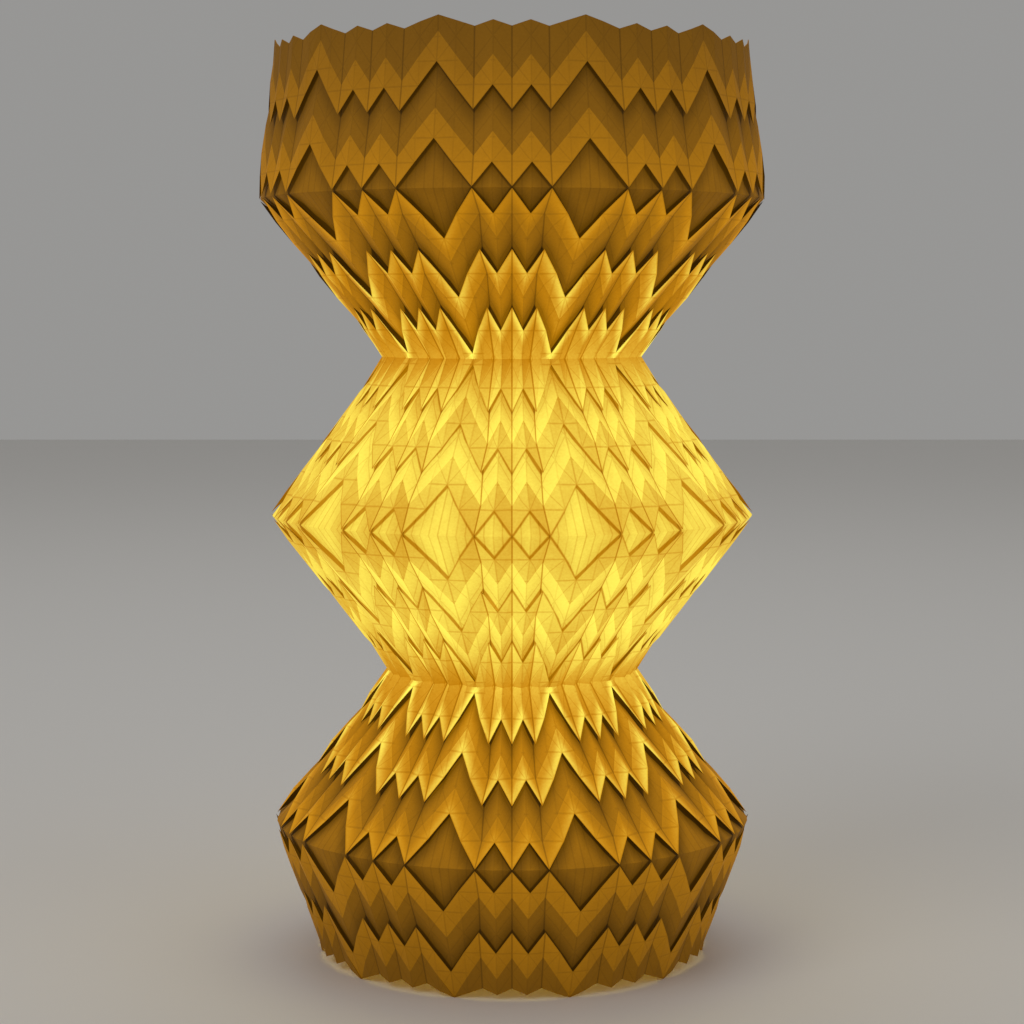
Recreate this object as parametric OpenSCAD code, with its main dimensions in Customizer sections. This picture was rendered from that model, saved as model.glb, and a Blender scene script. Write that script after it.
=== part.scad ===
// Table lamp with a folded paper shade standing over a small glass lamp.
// Millimetres, +Z up. Z = 0 is the surface the lamp stands on, and the shade's axis is Z.

/* [Shade rows] */
// Repeats of the fold pattern around the shade
groups = 11; // [9:1:14]
// Height from the foot rim to the tips of the lowest row
foot_band = 31.5; // [26:0.5:40]
// Height between the rows of the bottom bowl
bowl_pitch = 28.5; // [24:0.5:36]
// Height between the rows of the lower cone
low_pitch = 22.5; // [19:0.5:28]
// Height between the rows of the belly
belly_pitch = 24.2; // [20:0.5:30]
// Height between the rows of the upper cone
up_pitch = 23.6; // [20:0.5:30]
// Height between the tips of the two rows that meet at a neck
neck_span = 43.4; // [42.4:0.5:56]
// Height between the rows of the top drum
drum_pitch = 30.6; // [26:0.5:38]
// Height from the tips of the highest row to the top rim
top_band = 33; // [28:0.5:42]
// Depth of one tooth of the zigzag
tooth = 9.7; // [7:0.1:10]
// Gap between the tips that face each other on a belt
belt_gap = 0.9; // [0.6:0.1:4]

/* [Shade radii] */
// Radius of the foot rim
foot_r = 86; // [78:1:98]
// Radius of the lower belt
low_belt_r = 108; // [98:1:120]
// Radius of the lower neck
low_neck_r = 54; // [48:1:64]
// Radius of the middle belt
mid_belt_r = 109; // [98:1:122]
// Radius of the upper neck
up_neck_r = 56; // [48:1:66]
// Radius of the top belt
top_belt_r = 113; // [102:1:126]
// Radius of the top rim
top_r = 102; // [92:1:114]

/* [Paper folds] */
// Thickness of the folded paper
paper_t = 0.6; // [0.4:0.05:0.9]
// How far a row's edge laps over the fold behind it
lap = 9; // [7:0.5:11]
// Depth of the fold behind a row of the drum, belly and bowl
shut_fold = 4.4; // [3.6:0.1:6]
// Depth of the fold behind a row of the two cones
open_fold = 6.6; // [5:0.1:8]
// How far a belt lies behind the tips that frame it
belt_inset = 1.7; // [1.4:0.1:3]
// Height of the upright pleats' ridges
pleat = 0.9; // [0.3:0.1:1.4]

/* [Glass foot] */
// Radius of the glass foot
glass_r = 38; // [32:0.5:44]
// Height of the foot's rim
glass_rim_h = 12; // [11:0.5:18]
// Width of the rounding on the foot's rim
glass_shoulder = 2; // [1:0.5:4]
// Height where the foot has drawn in to the column
glass_slope_h = 30; // [24:0.5:44]
// How far the foot flares out at the bottom of the column
glass_flare = 6; // [3:0.5:9]
// Radius of the glass column
column_r = 17; // [14:0.5:20]
// Height of the glass column
column_h = 118; // [95:1:135]
// Radius of the recess under the foot
recess_r = 21; // [18:0.5:24]
// Depth of the recess under the foot
recess_h = 10; // [9.5:0.1:11]

/* [Stem] */
// Radius of the threaded tube
tube_r = 5; // [4:0.1:6]
// Wall of the threaded tube
tube_wall = 1.5; // [1:0.1:2]
// Clearance around the tube in the glass
tube_gap = 0.6; // [0.3:0.1:1]
// Thickness of the washer under the glass
washer_h = 1.5; // [1:0.1:2]
// Radius of the washer under the glass
washer_r = 15; // [12:0.5:17]
// Height of the nut
nut_h = 5; // [4:0.1:5.5]
// Width of the nut across its flats
nut_af = 17; // [15:0.5:19]
// Thickness of the cap plate on the column
plate_h = 2; // [1.5:0.1:3]
// How far the cap plate stands proud of the column
plate_lip = 3; // [1:0.5:5]

/* [Lamp holder] */
// Outer radius of the holder
holder_r = 20; // [18.5:0.1:23]
// Wall of the holder's cup and shell
holder_wall = 1.4; // [1:0.1:1.8]
// Height of the holder's cup
cup_h = 16; // [14:0.5:20]
// Thickness of the cup's floor
cup_floor = 3; // [2:0.1:4]
// Height of the holder's shell
shell_h = 27; // [24:0.5:32]
// Thickness of the insert that carries the contacts
insert_h = 10; // [8:0.5:12]
// Outer radius of the bulb's screw cap
cap_r = 13.1; // [12.6:0.1:13.4]
// Clearance between the bulb's cap and the screw sleeve
cap_gap = 0.3; // [0.2:0.05:0.5]
// Wall of the screw sleeve
sleeve_wall = 0.6; // [0.4:0.05:0.8]
// Height of the centre contact
contact_h = 2; // [1.5:0.1:3]
// Radius of the centre contact
contact_r = 4; // [3:0.1:5]
// Radius of the holes for the two wires
wire_hole_r = 2; // [1:0.1:2.2]
// Thickness of the lip at the top of the holder
holder_lip = 2; // [1.5:0.1:3]
// Clearance between the lip and the bulb's neck
lip_gap = 0.5; // [0.3:0.1:1]

/* [Bulb] */
// Length of the bulb's screw cap
cap_h = 24; // [22:0.5:27]
// How much wider the bulb's neck is than its cap
neck_extra = 1.5; // [0.8:0.1:2.5]
// Radius of the bulb's globe
globe_r = 30; // [27:0.5:34]
// Height of the globe's centre above the screw cap
globe_up = 47; // [42:0.5:54]

/* [Cord inlet] */
// Radius of the hole for the cord
cord_hole_r = 3.2; // [2.6:0.1:3.4]
// Wall of the rubber bush in the foot
bush_wall = 1.2; // [0.8:0.1:1.4]
// Width of the bush's flange
bush_flange = 0.6; // [0.4:0.1:0.8]
// Thickness of the bush's flange
bush_flange_h = 2; // [1:0.1:3]

/* [Hidden] */

// Tip heights of the rows, from the foot up
bowl_2 = foot_band;
bowl_1 = bowl_2 + bowl_pitch;
low_3 = bowl_1 + belt_gap;
low_2 = low_3 + low_pitch;
low_1 = low_2 + low_pitch;
belly_6 = low_1 + neck_span;
belly_5 = belly_6 + belly_pitch;
belly_4 = belly_5 + belly_pitch;
belly_3 = belly_4 + belt_gap;
belly_2 = belly_3 + belly_pitch;
belly_1 = belly_2 + belly_pitch;
up_3 = belly_1 + neck_span;
up_2 = up_3 + up_pitch;
up_1 = up_2 + up_pitch;
drum_2 = up_1 + belt_gap;
drum_1 = drum_2 + drum_pitch;
top_z = drum_1 + top_band;

// Heights of the belts and necks
low_belt_z = (bowl_1 + low_3) / 2;
low_neck_z = (low_1 + belly_6) / 2;
mid_belt_z = (belly_4 + belly_3) / 2;
up_neck_z = (belly_1 + up_3) / 2;
top_belt_z = (up_1 + drum_2) / 2;

// The outline that the rows' edges lie on, as [height, radius]
OUTLINE = [
    [0, foot_r], [low_belt_z, low_belt_r], [low_neck_z, low_neck_r], [mid_belt_z, mid_belt_r],
    [up_neck_z, up_neck_r], [top_belt_z, top_belt_r], [top_z + 2 * tooth, top_r]
];
function outline_r(z) = lookup(z, OUTLINE);

// Creases of one group, counted in half pleats: three tips, two small notches and a deep one
CREASE = [0, 1, 2, 4, 6, 7];
// How many teeth deep the zigzag is at each crease
NOTCH = [0, 1, 0, 2, 0, 1];
// Which side of the paper each upright pleat shows: ridge or valley
RIDGE = [-1, 1, -1, 1, -1, 1];
half_pleats = 8;
columns = groups * len(CREASE);
function crease_angle(c) =
    (floor(c / len(CREASE)) * half_pleats + CREASE[c % len(CREASE)]) * 360 / (groups * half_pleats);

// A fold line is [tip height, way of its notches, inset from the outline, share of the pleat].
// Notches run up (1) where the row's edge points down, and down (-1) where it points up.
rim_wave = 0.25;
function edge(z, way) = [z, way, 0, 0];
function knee(z, way, inset) = [z + way * lap, way, inset, 0.5];
function tuck(z, way, inset) = [z + way * lap, way, inset, 1];
// Next to a neck the fold behind a row stops just short of the neck
function neck_tuck(z, way, inset, neck_z) = concat(tuck(z, way, inset), neck_z - way * neck_gap);
neck_gap = 1.2;
knee_share = 0.25;
shut_knee = shut_fold * knee_share;
open_knee = open_fold * knee_share;

// The sheet from its top rim to its foot rim, fold by fold
FOLDS = [
    [top_z, rim_wave, 0, 0.6],
    edge(drum_1, 1), tuck(drum_1, 1, shut_fold),
    knee(drum_2, 1, shut_knee), edge(drum_2, 1), tuck(drum_2, 1, shut_fold),
    [top_belt_z, 0, belt_inset, 0.3],
    tuck(up_1, -1, open_fold), edge(up_1, -1), knee(up_1, -1, open_knee),
    tuck(up_2, -1, open_fold), edge(up_2, -1), knee(up_2, -1, open_knee),
    neck_tuck(up_3, -1, open_fold, up_neck_z), edge(up_3, -1),
    [up_neck_z, 0, 0, 0.8],
    edge(belly_1, 1), neck_tuck(belly_1, 1, shut_fold, up_neck_z),
    edge(belly_2, 1), tuck(belly_2, 1, shut_fold),
    edge(belly_3, 1), tuck(belly_3, 1, shut_fold),
    [mid_belt_z, 0, belt_inset, 0.3],
    tuck(belly_4, -1, shut_fold), edge(belly_4, -1),
    tuck(belly_5, -1, shut_fold), edge(belly_5, -1),
    neck_tuck(belly_6, -1, shut_fold, low_neck_z), edge(belly_6, -1),
    [low_neck_z, 0, 0, 0.8],
    edge(low_1, 1), neck_tuck(low_1, 1, open_fold, low_neck_z),
    knee(low_2, 1, open_knee), edge(low_2, 1), tuck(low_2, 1, open_fold),
    knee(low_3, 1, open_knee), edge(low_3, 1), tuck(low_3, 1, open_fold),
    [low_belt_z, 0, belt_inset, 0.3],
    tuck(bowl_1, -1, shut_fold), edge(bowl_1, -1), knee(bowl_1, -1, shut_knee),
    tuck(bowl_2, -1, shut_fold), edge(bowl_2, -1),
    [2 * rim_wave * tooth, -rim_wave, 0, 0.6]
];
lines = len(FOLDS);

// Where fold line f crosses crease c, as [radius, height]
function fold_point(f, c) =
    let (k = c % len(CREASE), line = FOLDS[f], free_z = line[0] + line[1] * tooth * NOTCH[k])
    let (z = len(line) < 5 ? free_z : line[1] > 0 ? min(free_z, line[4]) : max(free_z, line[4]))
    [outline_r(z) - line[2] + line[3] * pleat * RIDGE[k], z];

// Half the paper's thickness at a fold, along the line that halves the fold
max_mitre = 3.2;
function unit(v) = v / norm(v);
function left_of(v) = [-v[1], v[0]];
function mitre(f, c) =
    f == 0 || f == lines - 1
    ? [1, 0] * paper_t / 2
    : let (
        a = left_of(unit(fold_point(f, c) - fold_point(f - 1, c))),
        b = left_of(unit(fold_point(f + 1, c) - fold_point(f, c))),
        m = unit(a + b)
    )
    m * paper_t / 2 * min(max_mitre, 1 / max(0.01, m * a));

// A point on the sheet's outer side (1) or inner side (-1)
function sheet_point(f, c, side) =
    let (p = fold_point(f, c) + side * mitre(f, c), a = crease_angle(c) - 90)
    [p[0] * cos(a), p[0] * sin(a), p[1]];

function at(side, f, c) = (side * lines + f) * columns + c % columns;
function quad(a, b, c, d) = [[a, b, c], [a, c, d]];

module paper_shade() {
    points = [
        for (side = [1, -1]) for (f = [0 : lines - 1]) for (c = [0 : columns - 1])
            sheet_point(f, c, side)
    ];
    outside = [
        for (f = [0 : lines - 2]) for (c = [0 : columns - 1])
            each quad(at(0, f, c), at(0, f, c + 1), at(0, f + 1, c + 1), at(0, f + 1, c))
    ];
    inside = [
        for (f = [0 : lines - 2]) for (c = [0 : columns - 1])
            each quad(at(1, f, c), at(1, f + 1, c), at(1, f + 1, c + 1), at(1, f, c + 1))
    ];
    rims = [
        for (c = [0 : columns - 1]) each concat(
            quad(at(0, 0, c), at(1, 0, c), at(1, 0, c + 1), at(0, 0, c + 1)),
            quad(at(0, lines - 1, c), at(0, lines - 1, c + 1),
                at(1, lines - 1, c + 1), at(1, lines - 1, c))
        )
    ];
    color([0.98, 0.83, 0.42]) polyhedron(points, concat(outside, inside, rims), convexity = 20);
}

// Heights of the small lamp's pieces
plate_z = column_h;
cup_z = plate_z + plate_h;
insert_z = cup_z + cup_floor;
contact_z = insert_z + insert_h;
shell_z = cup_z + cup_h;
holder_top = shell_z + shell_h;
cap_z = contact_z + contact_h;
globe_z = cap_z + cap_h + globe_up;
washer_z = recess_h - washer_h;
nut_z = washer_z - nut_h;
tube_low = nut_z - 0.5;
sleeve_r = cap_r + cap_gap + sleeve_wall;
bulb_neck_r = cap_r + neck_extra;
lip_r = bulb_neck_r + lip_gap;
bush_r = cord_hole_r + bush_wall;
bush_z = bush_r + bush_flange + 0.3;
round_fn = 96;

module ring(z, h, r_out, r_in) {
    translate([0, 0, z]) difference() {
        cylinder(h = h, r = r_out, $fn = round_fn);
        translate([0, 0, -1]) cylinder(h = h + 2, r = r_in, $fn = round_fn);
    }
}

module glass_foot() {
    shoulder = glass_shoulder;
    color([0.8, 0.88, 0.88, 0.5]) difference() {
        rotate_extrude($fn = round_fn) polygon([
            [tube_r + tube_gap, recess_h], [recess_r, recess_h], [recess_r, 0],
            [glass_r - shoulder, 0], [glass_r, shoulder], [glass_r, glass_rim_h - shoulder],
            [glass_r - shoulder, glass_rim_h], [column_r + glass_flare, glass_slope_h - glass_flare],
            [column_r, glass_slope_h], [column_r, column_h], [tube_r + tube_gap, column_h]
        ]);
        translate([0, recess_r - 2, bush_z]) rotate([-90, 0, 0])
            cylinder(h = glass_r, r = bush_r, $fn = round_fn);
    }
}

module foot_washer() {
    color("silver") ring(washer_z, washer_h, washer_r, tube_r + tube_gap);
}

module foot_nut() {
    color("silver") translate([0, 0, nut_z]) difference() {
        cylinder(h = nut_h, r = nut_af / 2 / cos(30), $fn = 6);
        translate([0, 0, -1]) cylinder(h = nut_h + 2, r = tube_r, $fn = round_fn);
    }
}

module threaded_tube() {
    color("silver") ring(tube_low, insert_z - tube_low, tube_r, tube_r - tube_wall);
}

module column_plate() {
    color("goldenrod") ring(plate_z, plate_h, column_r + plate_lip, tube_r + tube_gap);
}

module holder_cup() {
    color("dimgray") rotate_extrude($fn = round_fn) polygon([
        [tube_r, cup_z], [holder_r - 3, cup_z], [holder_r, cup_z + 3], [holder_r, cup_z + cup_h],
        [holder_r - holder_wall, cup_z + cup_h], [holder_r - holder_wall, cup_z + cup_floor],
        [tube_r, cup_z + cup_floor]
    ]);
}

module holder_insert() {
    color("white") difference() {
        translate([0, 0, insert_z])
            cylinder(h = insert_h, r = holder_r - holder_wall, $fn = round_fn);
        for (side = [-1, 1]) translate([side * sleeve_r * 0.6, 0, insert_z - 1])
            cylinder(h = insert_h + 2, r = wire_hole_r, $fn = 48);
    }
}

module centre_contact() {
    color("goldenrod") translate([0, 0, contact_z]) cylinder(h = contact_h, r = contact_r, $fn = 48);
}

module screw_sleeve() {
    color("goldenrod") ring(contact_z, cap_h - 1, sleeve_r, sleeve_r - sleeve_wall);
}

module holder_shell() {
    lip = holder_lip;
    color("dimgray") rotate_extrude($fn = round_fn) polygon([
        [holder_r - holder_wall, shell_z], [holder_r, shell_z], [holder_r, holder_top - lip],
        [holder_r - lip, holder_top], [lip_r, holder_top],
        [lip_r, holder_top - lip], [holder_r - holder_wall, holder_top - lip]
    ]);
}

module bulb() {
    tip_h = 2;
    neck_h = 4;
    meet = 50;
    color("white") rotate_extrude($fn = round_fn) polygon(concat(
        [[0, cap_z], [contact_r, cap_z], [cap_r - 2, cap_z + tip_h + 1], [cap_r, cap_z + tip_h + 3]],
        [[cap_r, cap_z + cap_h], [bulb_neck_r, cap_z + cap_h],
            [bulb_neck_r, cap_z + cap_h + neck_h]],
        [for (a = [-meet : 5 : 90])
            [max(0, globe_r * cos(a)), globe_z + globe_r * sin(a)]]
    ));
}

module cord_inlet_bush() {
    wall_in = sqrt(recess_r * recess_r - bush_r * bush_r) - 1;
    color("black") translate([0, 0, bush_z]) rotate([-90, 0, 0]) difference() {
        union() {
            translate([0, 0, wall_in]) cylinder(h = glass_r - wall_in, r = bush_r, $fn = round_fn);
            translate([0, 0, glass_r])
                cylinder(h = bush_flange_h, r = bush_r + bush_flange, $fn = round_fn);
        }
        cylinder(h = glass_r + bush_flange_h + 1, r = cord_hole_r, $fn = round_fn);
    }
}

paper_shade();
glass_foot();
foot_washer();
foot_nut();
threaded_tube();
column_plate();
holder_cup();
holder_insert();
centre_contact();
screw_sleeve();
holder_shell();
bulb();
cord_inlet_bush();
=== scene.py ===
# %% [markdown]
# # A folded paper lamp
# The lamp is a tall tube of pleated paper, folded into rows of pointed scales, that stands
# over a small glass lamp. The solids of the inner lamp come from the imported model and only
# get finishes here. The paper is folded again in this file, with every crease.

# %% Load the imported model
import math
import random

import bpy
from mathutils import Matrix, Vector


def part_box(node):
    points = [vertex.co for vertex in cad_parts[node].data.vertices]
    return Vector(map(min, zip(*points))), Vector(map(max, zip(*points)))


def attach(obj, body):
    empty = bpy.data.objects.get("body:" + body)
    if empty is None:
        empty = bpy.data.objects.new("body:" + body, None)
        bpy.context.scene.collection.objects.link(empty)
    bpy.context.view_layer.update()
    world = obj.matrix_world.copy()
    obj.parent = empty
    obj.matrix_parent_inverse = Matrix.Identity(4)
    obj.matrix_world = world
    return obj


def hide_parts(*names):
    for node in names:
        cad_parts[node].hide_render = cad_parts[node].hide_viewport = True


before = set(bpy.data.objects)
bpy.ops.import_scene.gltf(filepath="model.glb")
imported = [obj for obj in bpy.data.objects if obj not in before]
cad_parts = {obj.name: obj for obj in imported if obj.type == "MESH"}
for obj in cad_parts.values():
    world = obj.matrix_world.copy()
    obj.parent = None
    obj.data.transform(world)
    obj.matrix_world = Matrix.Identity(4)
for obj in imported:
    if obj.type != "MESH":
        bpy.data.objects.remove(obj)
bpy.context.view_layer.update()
shade_low, shade_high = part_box("paper_shade")
SHADE_HEIGHT = shade_high.z - shade_low.z
MM = 0.001
print("shade height", round(SHADE_HEIGHT, 4))

# %% [markdown]
# ## Floor, light and camera
# A photograph of a lit lamp is mostly the lamp's own glow. The studio light stays soft and
# low, so that the glow still shows, and the camera stands a metre away, just above the
# upper neck, as the slant of the rows in the photograph says.

# %% Floor, light and camera
CAMERA_DISTANCE = 1.017
CAMERA_HEIGHT = 0.290
AIM_HEIGHT = 0.1985
LENS = 79.5


def aim(thing, target):
    """Turns a camera or light so that it looks at a point."""
    thing.rotation_euler = (Vector(target) - thing.location).to_track_quat("-Z", "Y").to_euler()


def soft_light(name, place, size, power, target=(0, 0, 0.2)):
    """One square studio lamp."""
    bpy.ops.object.light_add(type="AREA", location=place)
    light = bpy.context.object
    light.name = name
    light.data.size = size
    light.data.energy = power
    aim(light, target)
    return light


def make_stage():
    """A pale floor and an even, soft light all round."""
    bpy.ops.object.select_all(action="DESELECT")
    bpy.ops.mesh.primitive_plane_add(size=8, location=(0, 0, 0))
    floor = bpy.context.object
    floor.name = "studio_floor"
    paint = bpy.data.materials.new("studio_floor")
    paint.use_nodes = True
    shader = paint.node_tree.nodes["Principled BSDF"]
    shader.inputs["Base Color"].default_value = (0.78, 0.765, 0.74, 1)
    shader.inputs["Roughness"].default_value = 0.6
    floor.data.materials.append(paint)
    world = bpy.data.worlds.new("studio")
    world.use_nodes = True
    world.node_tree.nodes["Background"].inputs["Color"].default_value = (0.86, 0.85, 0.83, 1)
    world.node_tree.nodes["Background"].inputs["Strength"].default_value = 0.36
    bpy.context.scene.world = world
    bpy.context.scene.view_settings.view_transform = "Standard"


def make_camera():
    """The photograph's view: from just above the upper neck, looking a little down."""
    bpy.ops.object.camera_add(location=(0, -CAMERA_DISTANCE, CAMERA_HEIGHT))
    camera = bpy.context.object
    camera.data.lens = LENS
    camera.data.sensor_width = 36
    aim(camera, (0, 0, AIM_HEIGHT))
    bpy.context.scene.camera = camera


make_stage()
make_camera()
soft_light("key_light", (-1.3, -1.4, 1.7), 1.4, 9)
soft_light("fill_light", (1.6, -1.0, 1.0), 1.5, 3)
soft_light("top_light", (0, 1.0, 2.2), 1.6, 6)

# %% [markdown]
# ## The fold pattern
# The sheet is one long strip with upright pleats, closed into a tube. Rows of zigzag folds
# run round it. Each row laps over a fold hidden behind it, as a roof tile laps over the
# next one. Three small teeth and one deep notch repeat eleven times round the tube.
# A whole tube is therefore one table of fold lines, read from the top rim to the foot.

# %% Fold lines, from the top rim to the foot rim
GROUPS = 11
HALF_PLEATS = 8
TOOTH = 9.7 * MM
LAP = 9 * MM
SHUT_FOLD = 2.6 * MM
OPEN_FOLD = 4.6 * MM
BELT_INSET = 1.7 * MM
PLEAT = 0.9 * MM
NECK_PLEAT = 2.1 * MM
NECK_GAP = 1.2 * MM
KNEE_SHARE = 0.25
WIDE = 105 * MM
NARROWING = 50 * MM
NECK_REACH = 30 * MM

# Steps in mm from each row's tips to the next row's, from the foot up
STEPS = [31.5, 28.5, 0.9, 22.5, 22.5, 43.4, 24.2, 24.2, 0.9, 24.2, 24.2, 43.4, 23.6, 23.6, 0.9, 30.6]
ROWS = [sum(STEPS[: n + 1]) * MM for n in range(len(STEPS))]
TOP_RIM = ROWS[-1] + 33 * MM
LOW_BELT = (ROWS[1] + ROWS[2]) / 2
LOW_NECK = (ROWS[4] + ROWS[5]) / 2
MID_BELT = (ROWS[7] + ROWS[8]) / 2
UP_NECK = (ROWS[10] + ROWS[11]) / 2
TOP_BELT = (ROWS[13] + ROWS[14]) / 2
OUTLINE = [
    (0, 86 * MM), (LOW_BELT, 108 * MM), (LOW_NECK, 54 * MM), (MID_BELT, 109 * MM),
    (UP_NECK, 56 * MM), (TOP_BELT, 113 * MM), (TOP_RIM + 2 * TOOTH, 102 * MM),
]
NOTCH = [0, 1, 0, 1, 2, 1, 0, 1]
RIDGE = [-1, 1, -1, 0.5, 0.9, 0.5, -1, 1]
UPRIGHT = [1, 0.25, 1, 0.2, 0.45, 0.2, 1, 0.25]


def outline_radius(z):
    """The radius that the rows' edges lie on at height z."""
    z = min(max(z, OUTLINE[0][0]), OUTLINE[-1][0])
    for (z0, r0), (z1, r1) in zip(OUTLINE, OUTLINE[1:]):
        if z <= z1:
            return r0 + (r1 - r0) * (z - z0) / (z1 - z0)
    return OUTLINE[-1][1]


def fold(role, tip, way, inset, pleat, look, low=None, high=None):
    """One fold line: its part in the pattern, its tips' height, and which way it notches."""
    return dict(role=role, tip=tip, way=way, inset=inset, pleat=pleat, look=look, low=low, high=high)


def row(tip, way, depth, look, neck=None):
    """A row's folds: crease, edge and hidden fold, or no crease where it lies next to a neck."""
    low = neck + NECK_GAP if neck and way < 0 else None
    high = neck - NECK_GAP if neck and way > 0 else None
    band = look["band"] * MM
    crease = fold("crease", tip + way * band, way, depth * KNEE_SHARE, 0.6, look)
    edge = fold("edge", tip, way, 0, look["wave"], look)
    hidden = fold("hidden", tip + way * LAP, way, depth, look["wave"] + 0.05, look, low, high)
    if neck:
        return [edge, hidden] if way > 0 else [hidden, edge]
    return [crease, edge, hidden] if way > 0 else [hidden, edge, crease]


# How each part of the shade shows its layers in the painted glow: the light share of the band
# beside an edge and of the face beyond it, the painted shadow under the next row, how much
# brighter the painted glow is at the edge than in its band, how wide the band is in mm, and
# how far an edge waves in and out with the pleats
BELLY = dict(margin=0.84, face=1.05, shade=0.16, lift=-0.08, band=11, wave=0.3)
DRUM = dict(margin=0.95, face=0.5, shade=0.45, lift=0.08, band=12, wave=0.3)
BOWL = dict(margin=0.68, face=0.34, shade=0.5, lift=0.1, band=12, wave=0.3)
CONE = dict(margin=1.0, face=0.7, shade=0.66, lift=0.75, band=9, wave=0.5)
DOWN, UP = 1, -1
RIM_WAVE = 0.25
FOLDS = [fold("rim", TOP_RIM, RIM_WAVE, 0, 0.6, DRUM)]
FOLDS += row(ROWS[15], DOWN, SHUT_FOLD, DRUM)
FOLDS += row(ROWS[14], DOWN, SHUT_FOLD, DRUM)
FOLDS += [fold("belt", TOP_BELT, 0, BELT_INSET, 0.3, DRUM)]
FOLDS += row(ROWS[13], UP, OPEN_FOLD, CONE) + row(ROWS[12], UP, OPEN_FOLD, CONE)
FOLDS += row(ROWS[11], UP, OPEN_FOLD, CONE, UP_NECK)
FOLDS += [fold("neck", UP_NECK, 0, 0, 0.8, CONE)]
FOLDS += row(ROWS[10], DOWN, SHUT_FOLD, BELLY, UP_NECK)
FOLDS += row(ROWS[9], DOWN, SHUT_FOLD, BELLY) + row(ROWS[8], DOWN, SHUT_FOLD, BELLY)
FOLDS += [fold("belt", MID_BELT, 0, BELT_INSET, 0.3, BELLY)]
FOLDS += row(ROWS[7], UP, SHUT_FOLD, BELLY) + row(ROWS[6], UP, SHUT_FOLD, BELLY)
FOLDS += row(ROWS[5], UP, SHUT_FOLD, BELLY, LOW_NECK)
FOLDS += [fold("neck", LOW_NECK, 0, 0, 0.8, CONE)]
FOLDS += row(ROWS[4], DOWN, OPEN_FOLD, CONE, LOW_NECK)
FOLDS += row(ROWS[3], DOWN, OPEN_FOLD, CONE) + row(ROWS[2], DOWN, OPEN_FOLD, CONE)
FOLDS += [fold("belt", LOW_BELT, 0, BELT_INSET, 0.3, BOWL)]
FOLDS += row(ROWS[1], UP, SHUT_FOLD, BOWL) + row(ROWS[0], UP, SHUT_FOLD, BOWL)
FOLDS += [fold("rim", 2 * RIM_WAVE * TOOTH, -RIM_WAVE, 0, 0.6, BOWL)]
print("fold lines", len(FOLDS))

# %% [markdown]
# ## Folding the sheet
# A flat grid has the same squares as the creased sheet, so it is the natural start: one
# column of the grid for each upright crease and one row for each fold line. Every vertex
# is then carried to where the folds put it, the first and last columns are merged into
# the glued seam, and a Solidify modifier gives the paper its thickness.

# %% Fold a grid into the shade
PAPER = 0.35 * MM
HAND_FOLDED = 0.25 * MM
COLUMNS = GROUPS * HALF_PLEATS


def folded_height(line, crease):
    """The height at which a fold line crosses an upright crease."""
    z = line["tip"] + line["way"] * TOOTH * NOTCH[crease]
    if line["low"] is not None:
        z = max(z, line["low"])
    if line["high"] is not None:
        z = min(z, line["high"])
    return min(max(z, 0.0), TOP_RIM + 2 * RIM_WAVE * TOOTH)


def narrowness(r):
    """0 where the shade is wide, and about 1 at a neck."""
    return max(0.0, WIDE - r) / NARROWING


def pleat_depth(r):
    """A pleat closes up and so stands deeper where the shade is narrow."""
    return PLEAT + NECK_PLEAT * narrowness(r)


def parallel_crease(lines, number, column):
    """Pleats hang straight down from the tips of the row that laps over them."""
    line = lines[number]
    middle = round(column / HALF_PLEATS) * HALF_PLEATS
    across = column - middle
    if line["role"] != "crease" or abs(across) == HALF_PLEATS // 2:
        return column
    cover = nearest_edge(lines, number - line["way"], -line["way"])
    if not cover:
        return column
    narrow = outline_radius(cover["tip"]) / outline_radius(line["tip"])
    if abs(across) == 3:
        return middle + math.copysign(2 + narrow, across)
    return middle + across * narrow


def fold_grid(mesh, lines):
    """Carries each vertex of a unit grid to its place on the folded sheet."""
    hand = random.Random(11)
    shake = [[hand.uniform(-1, 1) * HAND_FOLDED for _ in range(COLUMNS)] for _ in lines]
    last = len(lines) - 1
    for vertex in mesh.vertices:
        column = round((vertex.co.x + 0.5) * COLUMNS) % COLUMNS
        number = last - round((vertex.co.y + 0.5) * last)
        line = lines[number]
        crease = column % HALF_PLEATS
        z = folded_height(line, crease)
        r = outline_radius(z)
        r += line["pleat"] * pleat_depth(r) * RIDGE[crease] - line["inset"] + shake[number][column]
        turn = math.tau * parallel_crease(lines, number, column) / COLUMNS - math.pi / 2
        vertex.co = (r * math.cos(turn), r * math.sin(turn), z)


def nearest_edge(lines, number, step):
    """The next free edge up or down the sheet, if no rim, neck or belt comes first."""
    while lines[number]["role"] in ("crease", "hidden"):
        number += step
    return lines[number] if lines[number]["role"] == "edge" else None


def write_strip(lines, number):
    """What one strip between two fold lines shows, and the edges that it lies between."""
    upper, lower = lines[number], lines[number + 1]
    way = upper["way"] if upper["role"] in ("crease", "edge", "hidden") else lower["way"]
    above = nearest_edge(lines, number, -1)
    below = nearest_edge(lines, number + 1, 1)
    own, cover = (below, above) if way > 0 else (above, below)
    roles = {upper["role"], lower["role"]}
    look = lower["look"] if upper["role"] in ("rim", "neck") else upper["look"]
    if roles == {"edge", "hidden"}:
        share = 0.3
    elif roles == {"edge", "crease"}:
        share = look["margin"]
    else:
        share = look["face"]
    return way, own, cover, share, look


def neck_blend(z, belly):
    """Painted light: the belly's glow dims and the cones' glow brightens towards a neck, where they
    meet.
    """
    closeness = max(0.0, 1 - min(abs(z - UP_NECK), abs(z - LOW_NECK)) / NECK_REACH)
    return closeness * (-0.42 if belly else 0.5)


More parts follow.
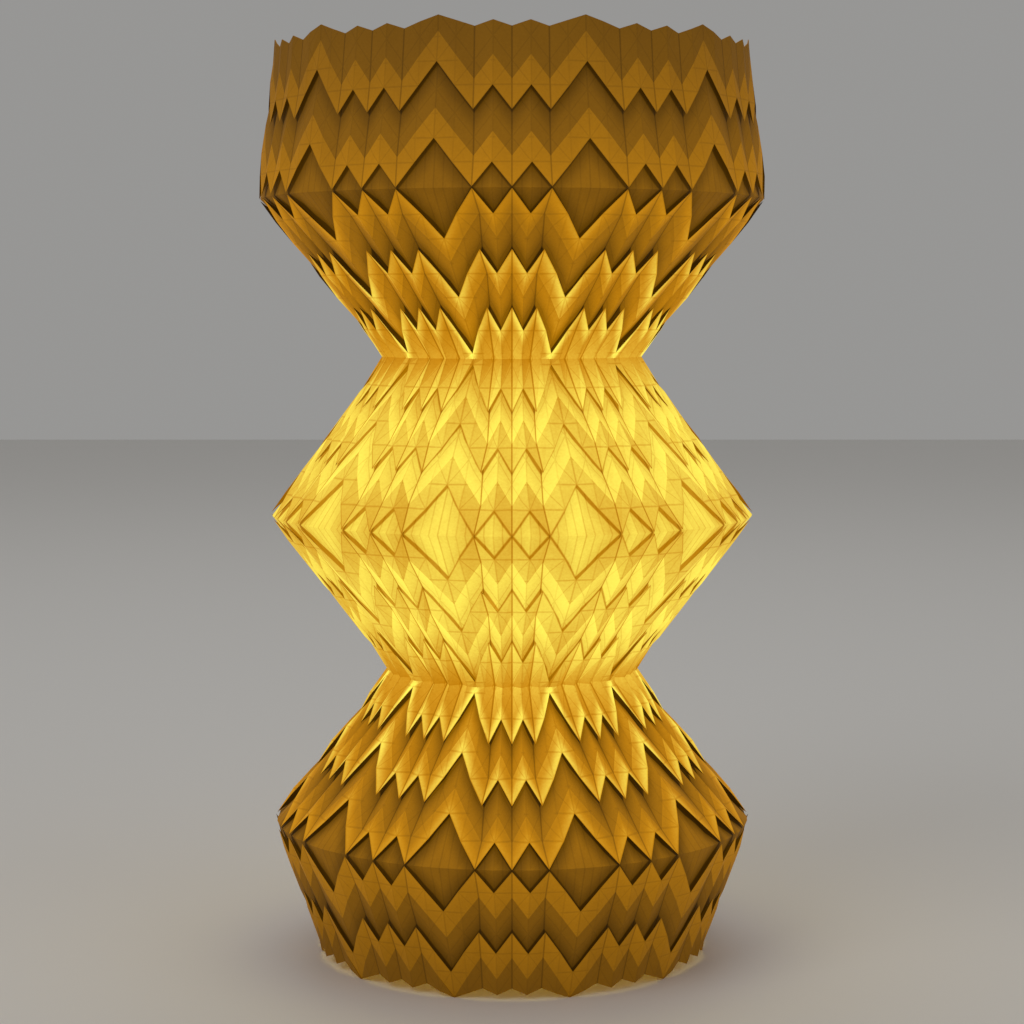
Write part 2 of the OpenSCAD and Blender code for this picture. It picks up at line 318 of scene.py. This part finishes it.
def write_glow(mesh, lines):
    """Stores at each corner how much light the layers let through, with painted facet shading and
    the painted neck blend, and where the edges are.
    """
    hand = random.Random(5)
    last = len(lines) - 1
    mesh.color_attributes.new("glow", "FLOAT_COLOR", "CORNER")
    for name in ("creases", "edges"):
        mesh.uv_layers.new(name=name)
    glow = mesh.color_attributes["glow"]
    creases, edges = mesh.uv_layers["creases"], mesh.uv_layers["edges"]
    for face in mesh.polygons:
        top = last - round((max(mesh.vertices[v].co.y for v in face.vertices) + 0.5) * last)
        way, own, cover, share, look = write_strip(lines, top)
        left = round((min(mesh.vertices[v].co.x for v in face.vertices) + 0.5) * COLUMNS)
        lean = RIDGE[(left + 1) % HALF_PLEATS] - RIDGE[left % HALF_PLEATS]
        share *= hand.uniform(0.96, 1.04)
        for loop in face.loop_indices:
            place = mesh.vertices[mesh.loops[loop].vertex_index].co
            column = round((place.x + 0.5) * COLUMNS)
            crease = column % HALF_PLEATS
            z = folded_height(lines[last - round((place.y + 0.5) * last)], crease)
            from_own = way * (z - folded_height(own, crease)) / MM if own else 60
            from_cover = way * (folded_height(cover, crease) - z) / MM if cover else 60
            turn = way * (z - own["tip"]) / TOOTH if own else 0.5
            # Painted facet shading: a face is made a little brighter or darker by which way it
            # leans, and more so near a neck
            side = 1 + lean * (0.02 + 0.035 * narrowness(outline_radius(z)))
            # Painted light: the glow dims in the belly and brightens in the cones near a neck
            side *= 1 + neck_blend(z, look is BELLY)
            glow.data[loop].color = (share * side, UPRIGHT[crease], look["shade"], look["lift"])
            creases.data[loop].uv = (column, turn)
            edges.data[loop].uv = (from_own, from_cover)


def finish_modifier(piece, kind, **settings):
    """Adds a modifier with these settings and applies it."""
    bpy.context.view_layer.objects.active = piece
    modifier = piece.modifiers.new(kind.lower(), kind)
    for key, value in settings.items():
        setattr(modifier, key, value)
    bpy.ops.object.modifier_apply(modifier=modifier.name)


def make_shade():
    """The folded paper shade as one sheet."""
    bpy.ops.object.select_all(action="DESELECT")
    bpy.ops.mesh.primitive_grid_add(
        x_subdivisions=COLUMNS, y_subdivisions=len(FOLDS) - 1, size=1, location=(0, 0, 0)
    )
    shade = bpy.context.object
    shade.name = "folded_shade"
    write_glow(shade.data, FOLDS)
    fold_grid(shade.data, FOLDS)
    bpy.ops.object.mode_set(mode="EDIT")
    bpy.ops.mesh.select_all(action="SELECT")
    bpy.ops.mesh.remove_doubles(threshold=0.00001)
    bpy.ops.mesh.normals_make_consistent(inside=False)
    bpy.ops.object.mode_set(mode="OBJECT")
    finish_modifier(shade, "SOLIDIFY", thickness=PAPER, offset=0)
    bpy.ops.object.shade_flat()
    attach(shade, "root")
    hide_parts("paper_shade")
    print("paper faces", len(shade.data.polygons))
    return shade


shade = make_shade()

# %% [markdown]
# ## Shader maths as Python
# A finish is a small formula, so it reads best as one. `Value` wraps a socket and turns
# plus, minus, times and divide into Math nodes. `Finish` makes a material, and its one
# method `node` adds any other kind of node.

# %% A socket that can be used in formulas
def joined(tree, target, value):
    """Gives a socket a value, or links it to another socket."""
    if isinstance(value, Value):
        tree.links.new(value.socket, target)
    elif isinstance(value, (tuple, list)) and target.type == "RGBA" and len(value) == 3:
        target.default_value = (*value, 1)
    else:
        target.default_value = value


class Value:
    """A socket of a node tree that can be added, multiplied and so on."""

    def __init__(self, tree, socket):
        self.tree = tree
        self.socket = socket

    def maths(self, operation, *others, flip=False):
        node = self.tree.nodes.new("ShaderNodeMath")
        node.operation = operation
        terms = [*others, self] if flip else [self, *others]
        for target, term in zip(node.inputs, terms):
            joined(self.tree, target, term)
        return Value(self.tree, node.outputs[0])

    def __add__(self, other):
        return self.maths("ADD", other)

    def __sub__(self, other):
        return self.maths("SUBTRACT", other)

    def __mul__(self, other):
        return self.maths("MULTIPLY", other)

    def __truediv__(self, other):
        return self.maths("DIVIDE", other)

    def __rsub__(self, other):
        return self.maths("SUBTRACT", other, flip=True)

    def __rtruediv__(self, other):
        return self.maths("DIVIDE", other, flip=True)

    __radd__ = __add__
    __rmul__ = __mul__

    def clamp(self):
        return self.maths("MAXIMUM", 0.0).maths("MINIMUM", 1.0)

    def smooth(self, start, end):
        """0 before start, 1 after end, and a smooth step between them."""
        node = self.tree.nodes.new("ShaderNodeMapRange")
        node.interpolation_type = "SMOOTHSTEP"
        joined(self.tree, node.inputs["Value"], self)
        node.inputs["From Min"].default_value = start
        node.inputs["From Max"].default_value = end
        return Value(self.tree, node.outputs["Result"])


class Finish:
    """A material with a Principled shader, built from formulas."""

    def __init__(self, name, **settings):
        self.material = bpy.data.materials.new(name)
        self.material.use_nodes = True
        self.tree = self.material.node_tree
        self.shader = self.tree.nodes["Principled BSDF"]
        self.set(**settings)

    def set(self, **settings):
        for key, value in settings.items():
            joined(self.tree, self.shader.inputs[key.replace("_", " ")], value)

    def node(self, kind, settings=None, **sockets):
        node = self.tree.nodes.new("ShaderNode" + kind)
        for key, value in (settings or {}).items():
            setattr(node, key, value)
        for key, value in sockets.items():
            joined(self.tree, node.inputs[key.replace("_", " ")], value)
        return node

    def out(self, node, name=0):
        return Value(self.tree, node.outputs[name])

    def place(self):
        return self.out(self.node("TexCoord"), "Object")

    def noise(self, scale, detail=3.0, where=None):
        node = self.node("TexNoise", Scale=scale, Detail=detail, Vector=where or self.place())
        return self.out(node, "Fac")

    def axes(self, vector):
        node = self.node("SeparateXYZ", Vector=vector)
        return [self.out(node, name) for name in "XYZ"]

    def blend(self, share, first, second, how="MIX"):
        """Mixes two colours."""
        node = self.tree.nodes.new("ShaderNodeMix")
        node.data_type = "RGBA"
        node.blend_type = how
        joined(self.tree, node.inputs["Factor"], share)
        joined(self.tree, node.inputs[6], first)
        joined(self.tree, node.inputs[7], second)
        return Value(self.tree, node.outputs[2])

    def dim(self, colour, share):
        """A colour times a number."""
        node = self.node("VectorMath", {"operation": "SCALE"}, Scale=share)
        joined(self.tree, node.inputs[0], colour)
        return Value(self.tree, node.outputs[0])

    def vector(self, operation, *terms):
        """A Vector Math node on these vectors."""
        node = self.node("VectorMath", {"operation": operation})
        for target, term in zip(node.inputs, terms):
            joined(self.tree, target, term)
        return node

    def bump(self, height, strength, distance):
        node = self.node("Bump", Height=height, Strength=strength, Distance=distance)
        self.set(Normal=self.out(node, "Normal"))


# %% [markdown]
# ## The paper
# The real sheet is plain thin paper. Its colour in the photograph is lamplight that comes
# through it: pale yellow next to the bulb and amber, then brown, further away. Where the
# folds put three layers on each other less light comes through. The glow is therefore a
# formula painted into the emission colour: it falls off with the distance from the bulb and
# is scaled by the layers. Painted shadow falls under each lapping row, a painted highlight
# runs beside each free edge, and faces are shaded by their lean. Fine painted dark lines
# mark the creases, which cross the sheet in both slants.

# %% Lamplight and creases as formulas
GLOW_HEIGHT = 0.195
GLOW_REACH = 0.15
WIDEST = 0.109


def thin_line(where, width, stretch=1.0):
    """1 wherever the value passes a whole number, and 0 elsewhere."""
    part = ((where + 0.5).maths("FRACT") - 0.5).maths("ABSOLUTE") * stretch
    return 1 - part.smooth(width * 0.35, width)


def lamplight(paper, place, normal):
    """Falls off with the distance from the bulb, and on faces that are turned away from it."""
    away = paper.out(paper.vector("SUBTRACT", place, (0, 0, GLOW_HEIGHT)))
    spread = paper.out(paper.vector("LENGTH", away), "Value") / GLOW_REACH
    ray = paper.out(paper.vector("NORMALIZE", away))
    turned = paper.out(paper.vector("DOT_PRODUCT", ray, normal), "Value").maths("ABSOLUTE")
    return (0.64 + turned * 0.45) / (spread * spread * spread * spread + 1)


def inner_side(paper, place, normal):
    """1 on the side of the sheet that faces the bulb."""
    x, y, _ = paper.axes(place)
    outward = x * paper.axes(normal)[0] + y * paper.axes(normal)[1]
    return outward.maths("LESS_THAN", 0.0)


def crease_marks(paper, place, column, turn, own):
    """Fine lines at the upright, level and slanting creases, and how strong each upright is, for
    painting dark shade along the folds.
    """
    stored = paper.node("Attribute", {"attribute_name": "glow"})
    upright = paper.axes(paper.out(stored, "Color"))[1]
    x, y, _ = paper.axes(place)
    width = (x * x + y * y).maths("SQRT") / WIDEST
    uprights = thin_line(column, 0.06, width) * upright
    levels = thin_line(turn, 0.05) * (1 - own.smooth(10, 12)) * 0.4
    slants = thin_line((column + turn) * 0.5, 0.03).maths(
        "MAXIMUM", thin_line((column - turn) * 0.5, 0.03)
    )
    return uprights.maths("MAXIMUM", levels).maths("MAXIMUM", slants * 0.32)


print("lamplight comes from a height of", GLOW_HEIGHT)

# %% Paper finish
def paper_finish():
    """Thin paper with the lamp behind it; its glow, shadows and crease lines are painted into the
    emission and base colour.
    """
    paper = Finish("shade_paper", Roughness=0.78, Specular_IOR_Level=0.2)
    place = paper.place()
    normal = paper.out(paper.node("NewGeometry"), "True Normal")
    fibres = paper.noise(900, 4)
    clouds = paper.noise(34, 3)
    stored = paper.node("Attribute", {"attribute_name": "glow"})
    share, _, shade = paper.axes(paper.out(stored, "Color"))
    lift = paper.out(stored, "Alpha")
    column, turn, _ = paper.axes(paper.out(paper.node("UVMap", {"uv_map": "creases"}), "UV"))
    own, cover, _ = paper.axes(paper.out(paper.node("UVMap", {"uv_map": "edges"}), "UV"))

    # Painted highlight: a brighter band beside each free edge (margin). Painted shadow: soft shade
    # under the row that laps over (soft), a dark line along that row's edge (line), and a thin dark
    # line on the paper's own edge (rim)
    margin = 1 - own.smooth(0, 8)
    soft = 1 - cover.smooth(1, 13)
    line = 1 - cover.smooth(0.7, 2.0)
    shadow = 1 - shade * soft * 0.8 - line * 0.34
    # Crease lines: painted dark shade along the folds in the glow and the base colour, and a real
    # crease relief in the bump
    crease_lines_and_shade = crease_marks(paper, place, column, turn, own)
    rim = 1 - own.smooth(0.25, 0.75)
    # Painted light in the emission: lamplight through the layers, times the painted shadow, the
    # painted edge highlight and the painted dark lines
    light = lamplight(paper, place, normal) * share * shadow
    light = light * (1 + margin * lift) * (1 - crease_lines_and_shade * 0.36 - rim * 0.1)
    light = light * (0.8 + clouds * 0.24 + fibres * 0.2)
    # Painted light: the side of the sheet that faces the bulb glows brighter
    light = light * (1 + inner_side(paper, place, normal) * 0.8)
    colour = paper.blend(light.smooth(0.36, 0.98), (1.0, 0.41, 0.002), (1.0, 0.84, 0.1))
    paper.set(Emission_Color=paper.dim(colour, light), Emission_Strength=1.0)
    # Painted shade in the base colour: darker under the painted shadow and along the crease lines,
    # and lighter where the layers let more light through
    base = paper.blend(clouds * 0.6 + fibres * 0.4, (0.2, 0.085, 0.004), (0.29, 0.135, 0.008))
    paper.set(Base_Color=paper.dim(base, shadow * (1 - crease_lines_and_shade * 0.35) * (0.7 + share * 0.25)))
    paper.bump(fibres * 0.5 + clouds * 0.5 - crease_lines_and_shade * 0.6, 0.35, 0.0003)
    return paper.material


def dress(piece, material):
    """Gives a piece one material all over."""
    piece.data.materials.clear()
    piece.data.materials.append(material)


dress(shade, paper_finish())
print("paper finish on", shade.name)

# %% [markdown]
# ## The small lamp inside
# The glass foot, the threaded tube with its nut and washer, the lamp holder and the bulb
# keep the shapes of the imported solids. Each gets a finish of its own: clear glass with
# faint drawn streaks, zinc-plated steel, spun brass, moulded plastic, unglazed ceramic,
# rubber, and an opal bulb that shines.

# %% Finishes of the small lamp
def glass_finish():
    glass = Finish("clear_glass", Transmission_Weight=1.0, IOR=1.48, Alpha=1.0)
    streaks = glass.noise(60, 2)
    glass.set(Roughness=0.02 + streaks * 0.05, Base_Color=(0.93, 0.97, 0.96))
    glass.bump(streaks, 0.08, 0.001)
    return glass.material


def metal_finish(name, dark, light, roughness):
    metal = Finish(name, Metallic=1.0)
    x, y, z = metal.axes(metal.place())
    turned = metal.noise(220, 2, metal.out(metal.node("CombineXYZ", X=z * 8, Y=x * 0.4, Z=y * 0.4)))
    stains = metal.noise(70, 3)
    metal.set(Base_Color=metal.blend(stains, dark, light), Roughness=roughness + turned * 0.2)
    metal.bump(turned, 0.12, 0.0002)
    return metal.material


def moulded_finish(name, dark, light, roughness, grain, depth):
    plastic = Finish(name)
    fine = plastic.noise(grain, 3)
    patches = plastic.noise(50, 2)
    plastic.set(Base_Color=plastic.blend(patches, dark, light), Roughness=roughness + fine * 0.18)
    plastic.bump(fine, 0.2, depth)
    return plastic.material


def bulb_finish():
    opal = Finish("opal_bulb", Roughness=0.35)
    z = opal.axes(opal.place())[2]
    cap_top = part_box("screw_sleeve")[1].z + 0.004
    lit = z.smooth(cap_top, cap_top + 0.006)
    swirl = opal.noise(90, 2)
    opal.set(Base_Color=opal.blend(lit, (0.55, 0.55, 0.56), (0.96, 0.93, 0.86)))
    opal.set(Metallic=1 - lit, Emission_Strength=3.0)
    opal.set(Emission_Color=opal.dim(opal.blend(0.5, (1, 0.8, 0.42), (1, 0.86, 0.5)),
                                     lit * (0.85 + swirl * 0.2)))
    opal.bump((z * 1800).maths("SINE") * (1 - lit), 0.5, 0.0004)
    return opal.material


steel = metal_finish("zinc_steel", (0.5, 0.52, 0.55), (0.66, 0.67, 0.69), 0.28)
brass = metal_finish("brass", (0.7, 0.5, 0.22), (0.84, 0.66, 0.34), 0.22)
black_plastic = moulded_finish(
    "holder_plastic", (0.03, 0.03, 0.03), (0.05, 0.05, 0.052), 0.4, 1400, 0.0001
)
ceramic = moulded_finish("insert_ceramic", (0.8, 0.79, 0.75), (0.9, 0.89, 0.86), 0.5, 900, 0.0002)
rubber = moulded_finish("bush_rubber", (0.02, 0.02, 0.02), (0.04, 0.04, 0.04), 0.6, 1800, 0.0001)
FINISHES = {
    "glass_foot": glass_finish(),
    "foot_washer": steel,
    "foot_nut": steel,
    "threaded_tube": steel,
    "column_plate": brass,
    "holder_cup": black_plastic,
    "holder_insert": ceramic,
    "centre_contact": brass,
    "screw_sleeve": brass,
    "holder_shell": black_plastic,
    "bulb": bulb_finish(),
    "cord_inlet_bush": rubber,
}
for node_name, material in FINISHES.items():
    dress(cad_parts[node_name], material)
print("finished nodes", len(FINISHES))
